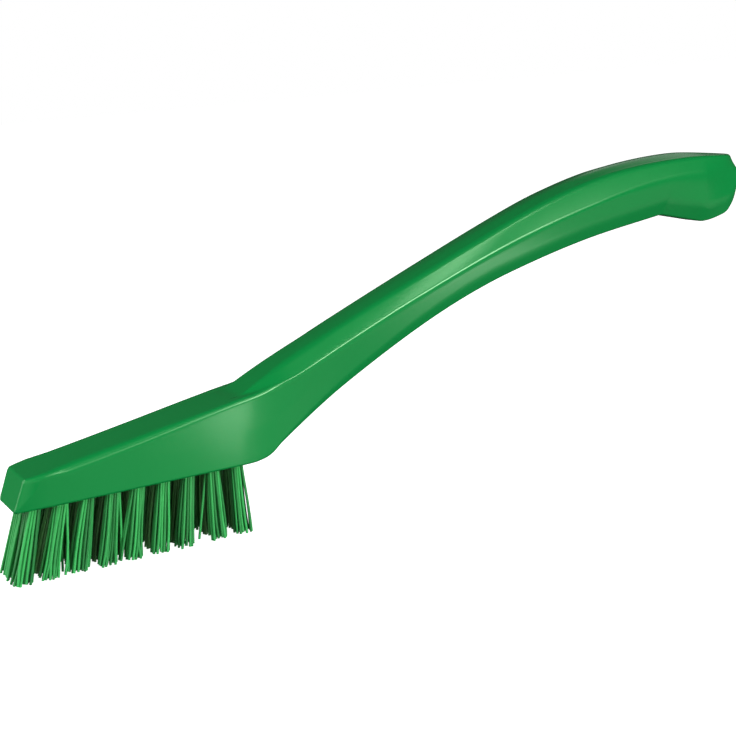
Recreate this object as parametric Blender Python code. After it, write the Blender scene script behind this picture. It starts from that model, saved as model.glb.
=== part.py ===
"""A hand scrub brush: block and bent handle in one moulding, with filament tufts folded over steel anchors.

X runs from the nose to the end of the handle, Y across the brush and Z up. The bristle tips stand on Z = 0,
and the middle of the whole length is over the origin.
"""

import bisect
import math
import random
import string

import bmesh
import bpy
import numpy
from mathutils import Matrix, Vector

# All sizes are in metres and all angles in degrees.

# Gap between pieces that touch
CLEARANCE = 0.0003

# Tuft field: three rows of nine blind holes
TUFT_ROWS = 3
TUFT_COLUMNS = 9
HOLE_DIAMETER = 0.0034
HOLE_DEPTH = 0.0046
HOLE_SIDES = 12
WALL_BETWEEN_ROWS = 0.0006
WALL_BETWEEN_COLUMNS = 0.0025

# Tufts: filaments folded once over an anchor, packed in the hole and fanned out below it
BRISTLE_LENGTH = 0.0162
STRANDS_A_SIDE = 4
STRANDS_LEFT_OUT = 2
STRAND_GAP = 0.00020
ROOT_RECESS = 0.0005
TUFT_SPREAD = 0.0004
TIP_SCATTER = 0.00010
TIP_SHORTFALL = 0.0006
TRIM_DEPTH = 0.0005
OUTWARD_LEAN = 2.0
SEED = 27

# Lean of the tufts along the brush, from the first column at 0 to the last at 1. Below 0 they point
# towards the nose.
LEAN = ((0.0, -16.2), (0.125, -16.0), (0.25, -14.5), (0.375, -11.8), (0.75, -9.4), (0.875, -1.8), (1.0, -0.5))

# Anchors: a flat length of steel strip pressed across each hole, inside the fold of its tuft
ANCHOR_LENGTH = 0.0040
ANCHOR_THICKNESS = 0.0004
ANCHOR_HEIGHT = 0.0012
FOLD_THICKNESS = 0.0007

# Block: a wedge that is thinnest at the nose
NOSE_MARGIN = 0.0025
HEEL_MARGIN = 0.0009
SIDE_MARGIN = 0.0012
BLOCK_DRAFT = 0.0012
NOSE_HEIGHT = 0.0067
NOSE_RAKE = 0.0021
NOSE_CORNER_LENGTH = 0.0046
NOSE_CORNER_DEPTH = 0.0013
NOSE_FOOT_DEPTH = 0.0004
BLOCK_TOP_SLOPE = 9.65
BLOCK_EDGE = 0.0004

# Handle: places are shares of its length, and rises are above the top of the block at the root
HANDLE_LENGTH = 0.1500
HANDLE_STATIONS = 36
ROOT_HALF_WIDTH = 0.0033
TOP_RISE = (
    (0.00, 0.0000),
    (0.05, 0.0043),
    (0.12, 0.0088),
    (0.30, 0.0195),
    (0.50, 0.0310),
    (0.60, 0.0359),
    (0.72, 0.0397),
    (0.87, 0.0415),
    (1.00, 0.0400),
)
TOP_HALF_WIDTH = ((0.00, ROOT_HALF_WIDTH), (0.10, 0.0040), (0.60, 0.0052), (1.00, 0.0062))
TOP_CROWN = ((0.00, 0.0), (0.30, 0.0002), (0.70, 0.0006), (1.00, 0.0010))
RIDGE_START = 0.057
RIDGE_RISE = (
    (0.10, 0.0039),
    (0.15, 0.0068),
    (0.30, 0.0159),
    (0.50, 0.0261),
    (0.70, 0.0336),
    (0.82, 0.0361),
    (0.92, 0.0363),
    (1.00, 0.0356),
)
RIDGE_INSET = (
    (0.00, 0.0000),
    (0.16, 0.0010),
    (0.50, 0.0009),
    (0.70, 0.0003),
    (0.90, -0.0004),
    (1.00, -0.0004),
)

# Underside of the handle, above the underside of the block
HEEL_TAPER_LENGTH = 0.0063
HEEL_HALF_WIDTH = 0.0035
BOTTOM_RISE = (
    (0.09, 0.0053),
    (0.18, 0.0138),
    (0.30, 0.0227),
    (0.40, 0.0289),
    (0.50, 0.0337),
    (0.66, 0.0391),
    (0.82, 0.0424),
)
FLARE_LENGTH = 0.0150
FLARE_DEPTH = 0.0034
CHAMFER_HEIGHT = (
    (0.00, BLOCK_EDGE),
    (0.05, 0.0006),
    (0.20, 0.0020),
    (0.60, 0.0030),
    (0.80, 0.0038),
    (1.00, 0.0050),
)
CHAMFER_INSET = ((0.00, BLOCK_EDGE), (0.30, 0.0014), (0.80, 0.0022), (1.00, 0.0026))

# End of the handle
CORNER_CUT_LENGTH = 0.0140
CORNER_CUT_DEPTH = 0.0033
END_BOTTOM_LENGTH = 0.0108
END_BOTTOM_RISE = 0.0090
END_TOP_LENGTH = 0.0052
END_TOP_DROP = 0.0062
END_STATIONS = 9

# Where the end rounds off, the ridge and the chamfer keep within these shares of the handle's height
RIDGE_LIMIT = 0.78
CHAMFER_LIMIT = 0.35

# How far a cutter reaches past the face that it opens, and the angle over which an edge is shaded sharp
CUT_PAST = 0.0020
SHARP_ANGLE = 25.0

# Colours, as linear values
GREEN_PLASTIC = (0.016, 0.245, 0.062)
GREEN_FILAMENT = (0.030, 0.340, 0.075)
ANCHOR_STEEL = (0.55, 0.56, 0.57)

# Places that follow from the sizes
ROW_PITCH = HOLE_DIAMETER + WALL_BETWEEN_ROWS
COLUMN_PITCH = HOLE_DIAMETER + WALL_BETWEEN_COLUMNS
FIRST_COLUMN = NOSE_MARGIN + HOLE_DIAMETER / 2
LAST_COLUMN = FIRST_COLUMN + COLUMN_PITCH * (TUFT_COLUMNS - 1)
ROOT = LAST_COLUMN + HOLE_DIAMETER / 2 + HEEL_MARGIN
END = ROOT + HANDLE_LENGTH
BOTTOM_HALF = ROW_PITCH * (TUFT_ROWS - 1) / 2 + HOLE_DIAMETER / 2 + SIDE_MARGIN
TOP_HALF = BOTTOM_HALF + BLOCK_DRAFT
HEEL_SHARE = HEEL_TAPER_LENGTH / HANDLE_LENGTH
DIP_SHARE = BOTTOM_RISE[-1][0]
ROOT_RADIUS = HOLE_DIAMETER / 2 - CLEARANCE
ROOT_TOP = HOLE_DEPTH - CLEARANCE
ANCHOR_DEPTH = ROOT_TOP - FOLD_THICKNESS - CLEARANCE - ANCHOR_HEIGHT / 2


def block_top(along):
    """Height of the block's flat top above its underside."""
    return NOSE_HEIGHT + math.tan(math.radians(BLOCK_TOP_SLOPE)) * (along - NOSE_RAKE)


def curve_through(points):
    """Returns a smooth line through the points, as a function of the place along it."""
    places = [place for place, _ in points]
    values = [value for _, value in points]
    last = len(points) - 1
    slopes = []
    for i in range(len(points)):
        before, after = max(i - 1, 0), min(i + 1, last)
        slopes.append((values[after] - values[before]) / (places[after] - places[before]))

    def value_at(place):
        place = min(max(place, places[0]), places[last])
        i = min(bisect.bisect_right(places, place), last) - 1
        run = places[i + 1] - places[i]
        t = (place - places[i]) / run
        start = values[i] * (1 + 2 * t) * (1 - t) ** 2 + slopes[i] * run * t * (1 - t) ** 2
        end = values[i + 1] * t * t * (3 - 2 * t) + slopes[i + 1] * run * t * t * (t - 1)
        return start + end

    return value_at


top_rise = curve_through(TOP_RISE)
top_half_width = curve_through(TOP_HALF_WIDTH)
top_crown = curve_through(TOP_CROWN)
ridge_lift = block_top(ROOT + RIDGE_START * HANDLE_LENGTH) - block_top(ROOT)
ridge_rise = curve_through(((RIDGE_START, ridge_lift), *RIDGE_RISE))
ridge_inset = curve_through(RIDGE_INSET)
bottom_rise = curve_through(((HEEL_SHARE, 0.0), *BOTTOM_RISE))
chamfer_height = curve_through(CHAMFER_HEIGHT)
chamfer_inset = curve_through(CHAMFER_INSET)


def round_off(along, length, depth):
    """How far an elliptical round of this length has come in at a place near the end of the handle."""
    t = min(1.0, max(0.0, (along - END + length) / length))
    return depth * (1 - math.sqrt(1 - t * t))


def block_section(along):
    """Half of the block's section, from the middle of its top round to the middle of its underside."""
    top = block_top(along)
    corner = max(0.0, 1 - (along - NOSE_RAKE) / NOSE_CORNER_LENGTH)
    top_edge = TOP_HALF - NOSE_CORNER_DEPTH * corner
    foot_edge = BOTTOM_HALF - NOSE_FOOT_DEPTH * corner
    rake = NOSE_RAKE * corner
    edge_rake = rake * (1 - BLOCK_EDGE / top)
    return [
        (along, 0.0, top),
        (along, ROOT_HALF_WIDTH / 2, top),
        (along, ROOT_HALF_WIDTH, top),
        (along, (ROOT_HALF_WIDTH + top_edge) / 2, top),
        (along, top_edge, top),
        (along - edge_rake, foot_edge, BLOCK_EDGE),
        (along - rake, foot_edge - BLOCK_EDGE, 0.0),
        (along - rake, 0.0, 0.0),
    ]


def handle_section(along):
    """Half of the handle's section, with the same corners as the block's."""
    share = (along - ROOT) / HANDLE_LENGTH
    base = block_top(ROOT)
    top = base + top_rise(share) - round_off(along, END_TOP_LENGTH, END_TOP_DROP)
    top_edge = top_half_width(share)
    ridge_edge = TOP_HALF - ridge_inset(share)
    spread = 0.1 + 0.8 * min(1.0, share / RIDGE_START)
    bottom = bottom_rise(share) if share > HEEL_SHARE else 0.0
    if share > DIP_SHARE:
        bottom -= FLARE_DEPTH * min(1.0, (share - DIP_SHARE) * HANDLE_LENGTH / FLARE_LENGTH)
    bottom += round_off(along, END_BOTTOM_LENGTH, END_BOTTOM_RISE)
    height = top - bottom
    if share <= RIDGE_START:
        ridge = foot = block_top(along)
    else:
        ridge = min(base + ridge_rise(share), bottom + RIDGE_LIMIT * height)
        foot = top + (ridge - top) * spread
    taper = min(1.0, share / HEEL_SHARE)
    bottom_edge = BOTTOM_HALF - BLOCK_EDGE + (HEEL_HALF_WIDTH - BOTTOM_HALF + BLOCK_EDGE) * taper
    chamfer = bottom + min(chamfer_height(share), CHAMFER_LIMIT * height)
    chamfer_edge = bottom_edge + chamfer_inset(share)
    cut = CORNER_CUT_DEPTH * max(0.0, 1 - (END - along) / CORNER_CUT_LENGTH)
    crown = top_crown(share)
    return [
        (along, 0.0, top + crown),
        (along, (top_edge - cut / 2) / 2, top + crown * 0.75),
        (along, top_edge - cut / 2, top),
        (along, top_edge - cut / 2 + (ridge_edge - cut / 2 - top_edge) * spread, foot),
        (along, ridge_edge - cut, ridge),
        (along, chamfer_edge - cut / 2, chamfer),
        (along, bottom_edge, bottom),
        (along, 0.0, bottom),
    ]


def body_sections():
    """Half sections from the nose to the end, close together where the outline turns fast."""
    block = [NOSE_RAKE, NOSE_RAKE + NOSE_CORNER_LENGTH, ROOT - HEEL_MARGIN]
    ridge_start = ROOT + RIDGE_START * HANDLE_LENGTH
    straight_end = END - END_BOTTOM_LENGTH
    places = [ROOT, ROOT + HEEL_TAPER_LENGTH / 2, ROOT + HEEL_TAPER_LENGTH, ridge_start]
    dip = ROOT + DIP_SHARE * HANDLE_LENGTH
    places.append(dip)
    step = (straight_end - ridge_start) / HANDLE_STATIONS
    for i in range(1, HANDLE_STATIONS + 1):
        along = ridge_start + step * i
        if abs(along - dip) > step / 2:
            places.append(along)
    for i in range(1, END_STATIONS + 1):
        places.append(straight_end + END_BOTTOM_LENGTH * math.sin(math.pi / 2 * i / END_STATIONS))
    return [block_section(along) for along in block] + [handle_section(along) for along in sorted(places)]


def close_end(bm, ring):
    """Closes a ring with a fan of triangles round its middle."""
    low = min(ring, key=lambda vert: abs(vert.co.y) + vert.co.z)
    high = min(ring, key=lambda vert: abs(vert.co.y) - vert.co.z)
    middle = bm.verts.new((low.co + high.co) / 2)
    for vert, after in zip(ring, ring[1:] + ring[:1]):
        bm.faces.new((vert, after, middle))


def body_mesh():
    """Joins the half sections, mirrored across the middle plane, into one closed skin of triangles."""
    bm = bmesh.new()
    rings = []
    for section in body_sections():
        near = [bm.verts.new((x, -y, z + BRISTLE_LENGTH)) for x, y, z in section]
        far = [bm.verts.new((x, y, z + BRISTLE_LENGTH)) for x, y, z in section[1:-1]]
        rings.append(near + far[::-1])
    half = len(rings[0]) // 2
    for ring, after in zip(rings, rings[1:]):
        for i in range(len(ring)):
            j = (i + 1) % len(ring)
            if i < half:
                bm.faces.new((ring[i], ring[j], after[i]))
                bm.faces.new((ring[j], after[j], after[i]))
            else:
                bm.faces.new((ring[i], ring[j], after[j]))
                bm.faces.new((ring[i], after[j], after[i]))
    close_end(bm, rings[0][::-1])
    close_end(bm, rings[-1])
    return mesh_from(bm, "brush_body")


def tuft_frame(row, column):
    """Places a tuft: its origin is the middle of the hole's mouth and its Z axis points out of the hole."""
    side = row - (TUFT_ROWS - 1) / 2
    mouth = Vector((FIRST_COLUMN + COLUMN_PITCH * column, ROW_PITCH * side, BRISTLE_LENGTH))
    share = column / max(1, TUFT_COLUMNS - 1)
    lean = math.radians(numpy.interp(share, [place for place, _ in LEAN], [angle for _, angle in LEAN]))
    outward = math.radians(OUTWARD_LEAN) * side
    turn = Matrix.Rotation(-lean, 4, "Y") @ Matrix.Rotation(math.pi + outward, 4, "X")
    return Matrix.Translation(mouth) @ turn


def hole_cutter(frames):
    """One round cutter for each hole, with its flats at the hole's diameter."""
    bm = bmesh.new()
    radius = HOLE_DIAMETER / 2 / math.cos(math.pi / HOLE_SIDES)
    for frame in frames:
        place = frame @ Matrix.Translation((0, 0, (CUT_PAST - HOLE_DEPTH) / 2))
        bmesh.ops.create_cone(
            bm,
            cap_ends=True,
            segments=HOLE_SIDES,
            radius1=radius,
            radius2=radius,
            depth=HOLE_DEPTH + CUT_PAST,
            matrix=place,
        )
    return cutter("tuft_holes", mesh_from(bm, "tuft_holes"))


def anchor_block(bm, frame, gap):
    """Adds an anchor's block to bm, this much larger on every side."""
    size = (ANCHOR_LENGTH + 2 * gap, ANCHOR_THICKNESS + 2 * gap, ANCHOR_HEIGHT + 2 * gap)
    place = frame @ Matrix.Translation((0, 0, -ANCHOR_DEPTH)) @ Matrix.Diagonal((*size, 1))
    bmesh.ops.create_cube(bm, size=1, matrix=place)


def slot_cutter(frames):
    """The slots that the anchors lie in, through the folds of the tufts and into the walls of the holes."""
    bm = bmesh.new()
    for frame in frames:
        anchor_block(bm, frame, CLEARANCE)
    return cutter("anchor_slots", mesh_from(bm, "anchor_slots"))


def tuft_root(bm):
    """Adds the packed root of a tuft, a round slice, and returns the grid of cells on its lower face."""
    bmesh.ops.create_grid(bm, x_segments=STRANDS_A_SIDE, y_segments=STRANDS_A_SIDE, size=1)
    cells = list(bm.faces)
    for vert in bm.verts:
        u, v = vert.co.x, vert.co.y
        round_x = u * math.sqrt(1 - v * v / 2)
        round_y = v * math.sqrt(1 - u * u / 2)
        vert.co = (ROOT_RADIUS * round_x, ROOT_RADIUS * round_y, -ROOT_RECESS)
    rim = [edge for edge in bm.edges if edge.is_boundary]
    made = bmesh.ops.extrude_edge_only(bm, edges=rim)["geom"]
    top_verts = [item for item in made if isinstance(item, bmesh.types.BMVert)]
    for vert in top_verts:
        vert.co.z = -ROOT_TOP
    top_edges = [edge for edge in bm.edges if edge.is_boundary]
    bmesh.ops.holes_fill(bm, edges=top_edges)
    return cells


def tuft_mesh(name, frame, chance):
    """One tuft: its root in the hole, and filaments that spread a little and are trimmed at Z = 0."""
    bm = bmesh.new()
    cells = tuft_root(bm)
    for cell in chance.sample(cells, STRANDS_LEFT_OUT):
        cells.remove(cell)
    bmesh.ops.inset_individual(bm, faces=cells, thickness=STRAND_GAP / 2, use_even_offset=True)
    made = bmesh.ops.extrude_discrete_faces(bm, faces=cells)["faces"]
    spread = 1 + TUFT_SPREAD / ROOT_RADIUS
    for face in made:
        start = face.calc_center_median()
        aim = Vector((start.x * spread, start.y * spread, BRISTLE_LENGTH))
        height = max(0.0, chance.uniform(-TRIM_DEPTH, TIP_SHORTFALL))
        top, low = frame @ start, frame @ aim
        tip = top.lerp(low, (top.z - height) / (top.z - low.z))
        tip.x += chance.uniform(-TIP_SCATTER, TIP_SCATTER)
        tip.y += chance.uniform(-TIP_SCATTER, TIP_SCATTER)
        for vert in face.verts:
            corner = frame @ vert.co - top
            vert.co = frame.inverted() @ Vector((tip.x + corner.x, tip.y + corner.y, height))
    bmesh.ops.recalc_face_normals(bm, faces=bm.faces)
    return mesh_from(bm, name)


def mesh_from(bm, name):
    """Turns a finished bmesh into a mesh."""
    mesh = bpy.data.meshes.new(name)
    bm.to_mesh(mesh)
    bm.free()
    return mesh


def material(name, colour, roughness, metallic):
    """Makes a plain Principled material."""
    made = bpy.data.materials.new(name)
    made.use_nodes = True
    shader = made.node_tree.nodes["Principled BSDF"]
    shader.inputs["Base Color"].default_value = (*colour, 1.0)
    shader.inputs["Roughness"].default_value = roughness
    shader.inputs["Metallic"].default_value = metallic
    return made


def new_object(name, mesh):
    """Puts a mesh in the scene as a named object."""
    made = bpy.data.objects.new(name, mesh)
    bpy.context.collection.objects.link(made)
    return made


def cutter(name, mesh):
    """Puts a mesh in the scene as a cutter, which no render shows."""
    made = new_object(name, mesh)
    made.hide_render = True
    made.display_type = "WIRE"
    return made


def cut(piece, tool):
    """Takes the tool's shape out of the piece."""
    boolean = piece.modifiers.new(tool.name, "BOOLEAN")
    boolean.operation = "DIFFERENCE"
    boolean.solver = "EXACT"
    boolean.object = tool


def clear_scene():
    """Removes whatever the scene held before."""
    for old in list(bpy.data.objects):
        bpy.data.objects.remove(old, do_unlink=True)


def make_body(holes, slots):
    """The moulding, with its holes and slots cut."""
    mesh = body_mesh()
    mesh.materials.append(material("green_plastic", GREEN_PLASTIC, 0.28, 0.0))
    mesh.shade_smooth()
    mesh.set_sharp_from_angle(angle=math.radians(SHARP_ANGLE))
    body = new_object("brush_body", mesh)
    cut(body, holes)
    cut(body, slots)
    return body


def make_tufts(places, slots):
    """One tuft for each hole."""
    filament = material("green_filament", GREEN_FILAMENT, 0.45, 0.0)
    chance = random.Random(SEED)
    tufts = []
    for label, frame in places.items():
        name = "tuft_" + label
        tuft = new_object(name, tuft_mesh(name, frame, chance))
        tuft.matrix_world = frame
        tuft.data.materials.append(filament)
        cut(tuft, slots)
        tufts.append(tuft)
    return tufts


def make_anchors(places):
    """One anchor for each hole, all sharing one mesh."""
    bm = bmesh.new()
    anchor_block(bm, Matrix.Identity(4), 0.0)
    strip = mesh_from(bm, "anchor")
    strip.materials.append(material("anchor_steel", ANCHOR_STEEL, 0.35, 1.0))
    anchors = []
    for label, frame in places.items():
        anchor = new_object("anchor_" + label, strip)
        anchor.matrix_world = frame
        anchors.append(anchor)
    return anchors


def centre_along_x(pieces):
    """Hangs the pieces from an empty that brings the middle of their whole length over the origin."""
    ends = [(piece.matrix_basis @ vert.co).x for piece in pieces for vert in piece.data.vertices]
    middle = bpy.data.objects.new("brush", None)
    bpy.context.collection.objects.link(middle)
    middle.location.x = -(min(ends) + max(ends)) / 2
    for piece in pieces:
        piece.parent = middle


def main():
    clear_scene()
    places = {}
    for row in range(TUFT_ROWS):
        for column in range(TUFT_COLUMNS):
            places[f"{string.ascii_lowercase[row]}{column + 1}"] = tuft_frame(row, column)
    holes = hole_cutter(places.values())
    slots = slot_cutter(places.values())
    body = make_body(holes, slots)
    tufts = make_tufts(places, slots)
    anchors = make_anchors(places)
    centre_along_x([body, *tufts, *anchors, holes, slots])


main()
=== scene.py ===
# %% [markdown]
# # A hand scrub brush, dressed for its picture
# The brush is a green plastic moulding, a wedge-shaped block that runs into a long bent handle, with 27 tufts of
# filament set in its underside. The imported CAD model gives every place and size. This lesson loads it, stands new
# pieces where its soft and plain ones were, and gives every surface a finish made of shader nodes.

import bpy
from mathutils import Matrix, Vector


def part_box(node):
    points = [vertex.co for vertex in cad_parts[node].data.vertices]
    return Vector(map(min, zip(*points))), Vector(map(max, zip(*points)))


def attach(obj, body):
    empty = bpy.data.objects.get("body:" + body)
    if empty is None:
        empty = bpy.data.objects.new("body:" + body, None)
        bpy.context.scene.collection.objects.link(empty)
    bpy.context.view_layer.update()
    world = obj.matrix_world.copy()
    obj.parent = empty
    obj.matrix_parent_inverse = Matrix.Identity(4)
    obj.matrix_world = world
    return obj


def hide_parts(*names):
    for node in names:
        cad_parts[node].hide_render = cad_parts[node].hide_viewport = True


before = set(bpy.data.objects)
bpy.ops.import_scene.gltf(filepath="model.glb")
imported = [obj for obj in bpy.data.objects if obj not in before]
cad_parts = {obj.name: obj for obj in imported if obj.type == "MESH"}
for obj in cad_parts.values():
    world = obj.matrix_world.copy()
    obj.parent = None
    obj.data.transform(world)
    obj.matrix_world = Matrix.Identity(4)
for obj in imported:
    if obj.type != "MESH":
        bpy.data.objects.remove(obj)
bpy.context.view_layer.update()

# %% [markdown]
# ## Tools for the work
# Blender's operators act on whatever is selected, and the loaded nodes arrive selected. So each step starts by
# clearing the selection, and one small helper does that.

# %% Helpers for selecting
import bisect
import math
import random

import bmesh
import bpy
from mathutils import Matrix, Vector

MM = 0.001


def only(*objects):
    """Selects just these objects and makes the first one active."""
    bpy.ops.object.select_all(action="DESELECT")
    for piece in objects:
        piece.select_set(True)
    bpy.context.view_layer.objects.active = objects[0]


def finish_piece(piece, name, body_slot, *nodes):
    """Names a finished piece, puts its place into its mesh, and lets it stand for its CAD nodes."""
    only(piece)
    bpy.ops.object.transform_apply(location=True, rotation=True, scale=True)
    piece.name = piece.data.name = name
    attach(piece, "root")
    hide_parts(*nodes)


bpy.ops.object.select_all(action="DESELECT")
print("selected after clearing:", len(bpy.context.selected_objects))

# %% [markdown]
# ## The camera
# The picture was taken from the long side of the brush, turned some 27 degrees towards its nose and a little from
# above, with the camera rolled slightly so that the brush climbs across the frame. It stood about a third of a metre
# away. The angles were found by matching the outline of the block and the handle, and the camera is set from them
# with a plain turn matrix. The sidestep and the drop are shares of the distance.

# %% Set up the camera
CAMERA_TARGET = Vector((0.001209, 0.0, 0.0312))
CAMERA_DISTANCE = 0.345
CAMERA_YAW = math.radians(27.5127)
CAMERA_TILT = math.radians(12.7182)
CAMERA_ROLL = math.radians(4.2745)
CAMERA_LENS = 68.58
CAMERA_SENSOR = 36.0
CAMERA_NEAREST = 0.01
CAMERA_SIDESTEP = 0.03294
CAMERA_DROP = 0.00253

right = Vector((math.cos(CAMERA_YAW), -math.sin(CAMERA_YAW), 0.0))
level = math.cos(CAMERA_TILT)
ahead = Vector((math.sin(CAMERA_YAW) * level, math.cos(CAMERA_YAW) * level, -math.sin(CAMERA_TILT)))
up = right.cross(ahead)
place = CAMERA_TARGET - CAMERA_DISTANCE * (ahead + CAMERA_SIDESTEP * right + CAMERA_DROP * up)
image_right = math.cos(CAMERA_ROLL) * right - math.sin(CAMERA_ROLL) * up
image_up = math.sin(CAMERA_ROLL) * right + math.cos(CAMERA_ROLL) * up

bpy.ops.object.camera_add()
camera = bpy.context.object
camera.name = "photo_camera"
camera.matrix_world = Matrix((
    (image_right.x, image_up.x, -ahead.x, place.x),
    (image_right.y, image_up.y, -ahead.y, place.y),
    (image_right.z, image_up.z, -ahead.z, place.z),
    (0.0, 0.0, 0.0, 1.0),
))
camera.data.lens = CAMERA_LENS
camera.data.sensor_width = CAMERA_SENSOR
camera.data.clip_start = CAMERA_NEAREST
bpy.context.scene.camera = camera
print("camera at", [round(v, 4) for v in place])

# %% [markdown]
# ## The floor
# The brush is shown on plain white with hardly a shadow. A pale floor carries the bristle tips. It could be a plain
# sheet of paper, but the light that the photo shows on every lower facet could then only come from the paper. So the
# floor shows white to the camera and is left out of the light: it neither reflects in the brush nor shades it, and
# soft panels under it stand for what a white table throws back. The Standard view leaves the colours as they are.

# %% Lay the floor
FLOOR_SIZE = 6.0
FLOOR_WHITE = 0.80
FLOOR_LIFT = 1.0

bpy.context.scene.view_settings.view_transform = "Standard"
bpy.context.scene.view_settings.look = "None"

bpy.ops.object.select_all(action="DESELECT")
bpy.ops.mesh.primitive_plane_add(size=FLOOR_SIZE, location=(0.0, 0.0, 0.0))
floor = bpy.context.object
floor.name = "floor"
paper = bpy.data.materials.new("floor_paper")
paper.use_nodes = True
nodes, links = paper.node_tree.nodes, paper.node_tree.links
shader = nodes["Principled BSDF"]
shader.inputs["Roughness"].default_value = 0.9
shader.inputs["Specular IOR Level"].default_value = 0.1
seen = nodes.new("ShaderNodeLightPath")
shader.inputs["Base Color"].default_value = (FLOOR_WHITE, FLOOR_WHITE, FLOOR_WHITE, 1.0)
lift = nodes.new("ShaderNodeMath")
lift.operation = "MULTIPLY"
lift.inputs[1].default_value = FLOOR_LIFT
links.new(seen.outputs["Is Camera Ray"], lift.inputs[0])
shader.inputs["Emission Color"].default_value = (1.0, 1.0, 1.0, 1.0)
links.new(lift.outputs[0], shader.inputs["Emission Strength"])
floor.data.materials.append(paper)
floor.visible_diffuse = False
floor.visible_glossy = False
floor.visible_shadow = False
print("floor", FLOOR_SIZE, "m across")

# %% [markdown]
# ## The light
# A studio would use a tent of white cloth and a few cards, and each card shows in the glossy plastic. Here each is a
# soft panel, placed by its angles round the brush. The broad ones light the near side, the nose, the top and the
# underside. The small ones each show as one sheen: on the upper facet of the handle, as the bright line of the ridge,
# at the heel, on the lower facet halfway, and on the top of the end. A panel is given by the light that arrives, so
# it can be moved away without getting dimmer.

# %% Hang the lights
WORLD_GREY = 0.05
PANEL_DISTANCE = 0.9
PANEL_AIM = (0.0, 0.0, 0.03)

world = bpy.data.worlds.new("studio")
bpy.context.scene.world = world
world.use_nodes = True
nodes, links = world.node_tree.nodes, world.node_tree.links
sky = nodes["Background"]
seen = nodes.new("ShaderNodeLightPath")
tone = nodes.new("ShaderNodeMix")
tone.data_type = "RGBA"
tone.inputs["A"].default_value = (WORLD_GREY, WORLD_GREY, WORLD_GREY, 1.0)
tone.inputs["B"].default_value = (1.0, 1.0, 1.0, 1.0)
links.new(seen.outputs["Is Camera Ray"], tone.inputs["Factor"])
links.new(tone.outputs["Result"], sky.inputs["Color"])


def panel(name, azimuth, elevation, width, tall, glow, distance=PANEL_DISTANCE, aim=PANEL_AIM):
    """A soft panel, at azimuth 0 in front of the brush and 90 at its handle end. Glow is the light that arrives."""
    turn, climb = math.radians(azimuth), math.radians(elevation)
    away = Vector((math.sin(turn) * math.cos(climb), -math.cos(turn) * math.cos(climb), math.sin(climb)))
    bpy.ops.object.light_add(type="AREA", location=Vector(aim) + away * distance)
    light = bpy.context.object
    light.name = light.data.name = name
    light.data.shape = "RECTANGLE"
    light.data.size = width
    light.data.size_y = tall
    light.data.energy = glow * math.pi * distance**2
    light.rotation_euler = (-away).to_track_quat("-Z", "Y").to_euler()
    light.visible_camera = False
    return light


panels = [
    # broad and soft: from the left, along the brush from its nose, from above, from below and from the front
    panel("left_panel", -55.0, 24.0, 0.38, 0.38, 0.60, distance=0.50, aim=(-0.02, 0.0, 0.03)),
    panel("nose_panel", -110.0, 22.0, 0.34, 0.34, 3.90, distance=0.28, aim=(-0.09, 0.0, 0.03)),
    panel("sky_bounce", -14.0, 55.0, 1.30, 0.60, 0.43),
    panel("table_bounce", 34.0, -29.0, 1.20, 0.42, 0.33),
    panel("front_fill", -27.0, -4.0, 0.60, 0.50, 0.30),
    # small: each shows as one sheen, in the order named above
    panel("high_panel", 17.5, 39.5, 0.14, 0.20, 0.48),
    panel("ridge_panel", 21.0, 11.0, 0.30, 0.15, 1.87, distance=1.60),
    panel("heel_panel", 25.5, -22.8, 0.018, 0.015, 0.24, distance=0.15, aim=(-0.0515, -0.008, 0.0315)),
    panel("middle_panel", 55.0, -37.5, 0.03, 0.03, 0.21, distance=0.15, aim=(0.018, -0.006, 0.053)),
    panel("back_bounce", 134.0, 22.0, 0.30, 0.20, 0.042),
]
for light in panels:
    print(light.name, light.data.energy, "W at", [round(v, 2) for v in light.location])

# %% [markdown]
# ## Effects that several finishes share
# Moulded plastic is never one even colour. Pigment drifts a little through the melt, and the tool leaves a fine
# satin grain. Filament and steel have the same two effects at other scales, so each is a node group with named
# sockets, built once and set per material. Both read Object coordinates, which stay put on the piece.


# %% Start a node group
def group_with(name, inputs, outputs):
    """A new shader node group with float, colour and vector sockets, and its input and output nodes."""
    made = bpy.data.node_groups.new(name, "ShaderNodeTree")
    for label, kind, value in inputs:
        socket = made.interface.new_socket(label, in_out="INPUT", socket_type="NodeSocket" + kind)
        if value is not None:
            socket.default_value = value
    for label, kind in outputs:
        made.interface.new_socket(label, in_out="OUTPUT", socket_type="NodeSocket" + kind)
    entry = made.nodes.new("NodeGroupInput")
    leave = made.nodes.new("NodeGroupOutput")
    return made, entry, leave


print("node groups so far:", len(bpy.data.node_groups))

# %% [markdown]
# ### Pigment drift
# Two noises are mixed, large soft clouds and fine specks, and the mix blends a light and a dark version of a colour.

# %% Build the pigment drift
drift, entry, leave = group_with(
    "pigment_drift",
    [
        ("Light Colour", "Color", (0.5, 0.5, 0.5, 1.0)),
        ("Dark Colour", "Color", (0.4, 0.4, 0.4, 1.0)),
        ("Cloud Size", "Float", 60.0),
        ("Speck Size", "Float", 900.0),
        ("Speck Share", "Float", 0.25),
    ],
    [("Colour", "Color"), ("Mask", "Float")],
)
where = drift.nodes.new("ShaderNodeTexCoord")
cloud = drift.nodes.new("ShaderNodeTexNoise")
cloud.inputs["Detail"].default_value = 3.0
speck = drift.nodes.new("ShaderNodeTexNoise")
speck.inputs["Detail"].default_value = 2.0
both = drift.nodes.new("ShaderNodeMix")
both.data_type = "FLOAT"
blend = drift.nodes.new("ShaderNodeMix")
blend.data_type = "RGBA"
for noise, size in ((cloud, "Cloud Size"), (speck, "Speck Size")):
    drift.links.new(where.outputs["Object"], noise.inputs["Vector"])
    drift.links.new(entry.outputs[size], noise.inputs["Scale"])
drift.links.new(entry.outputs["Speck Share"], both.inputs["Factor"])
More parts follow.
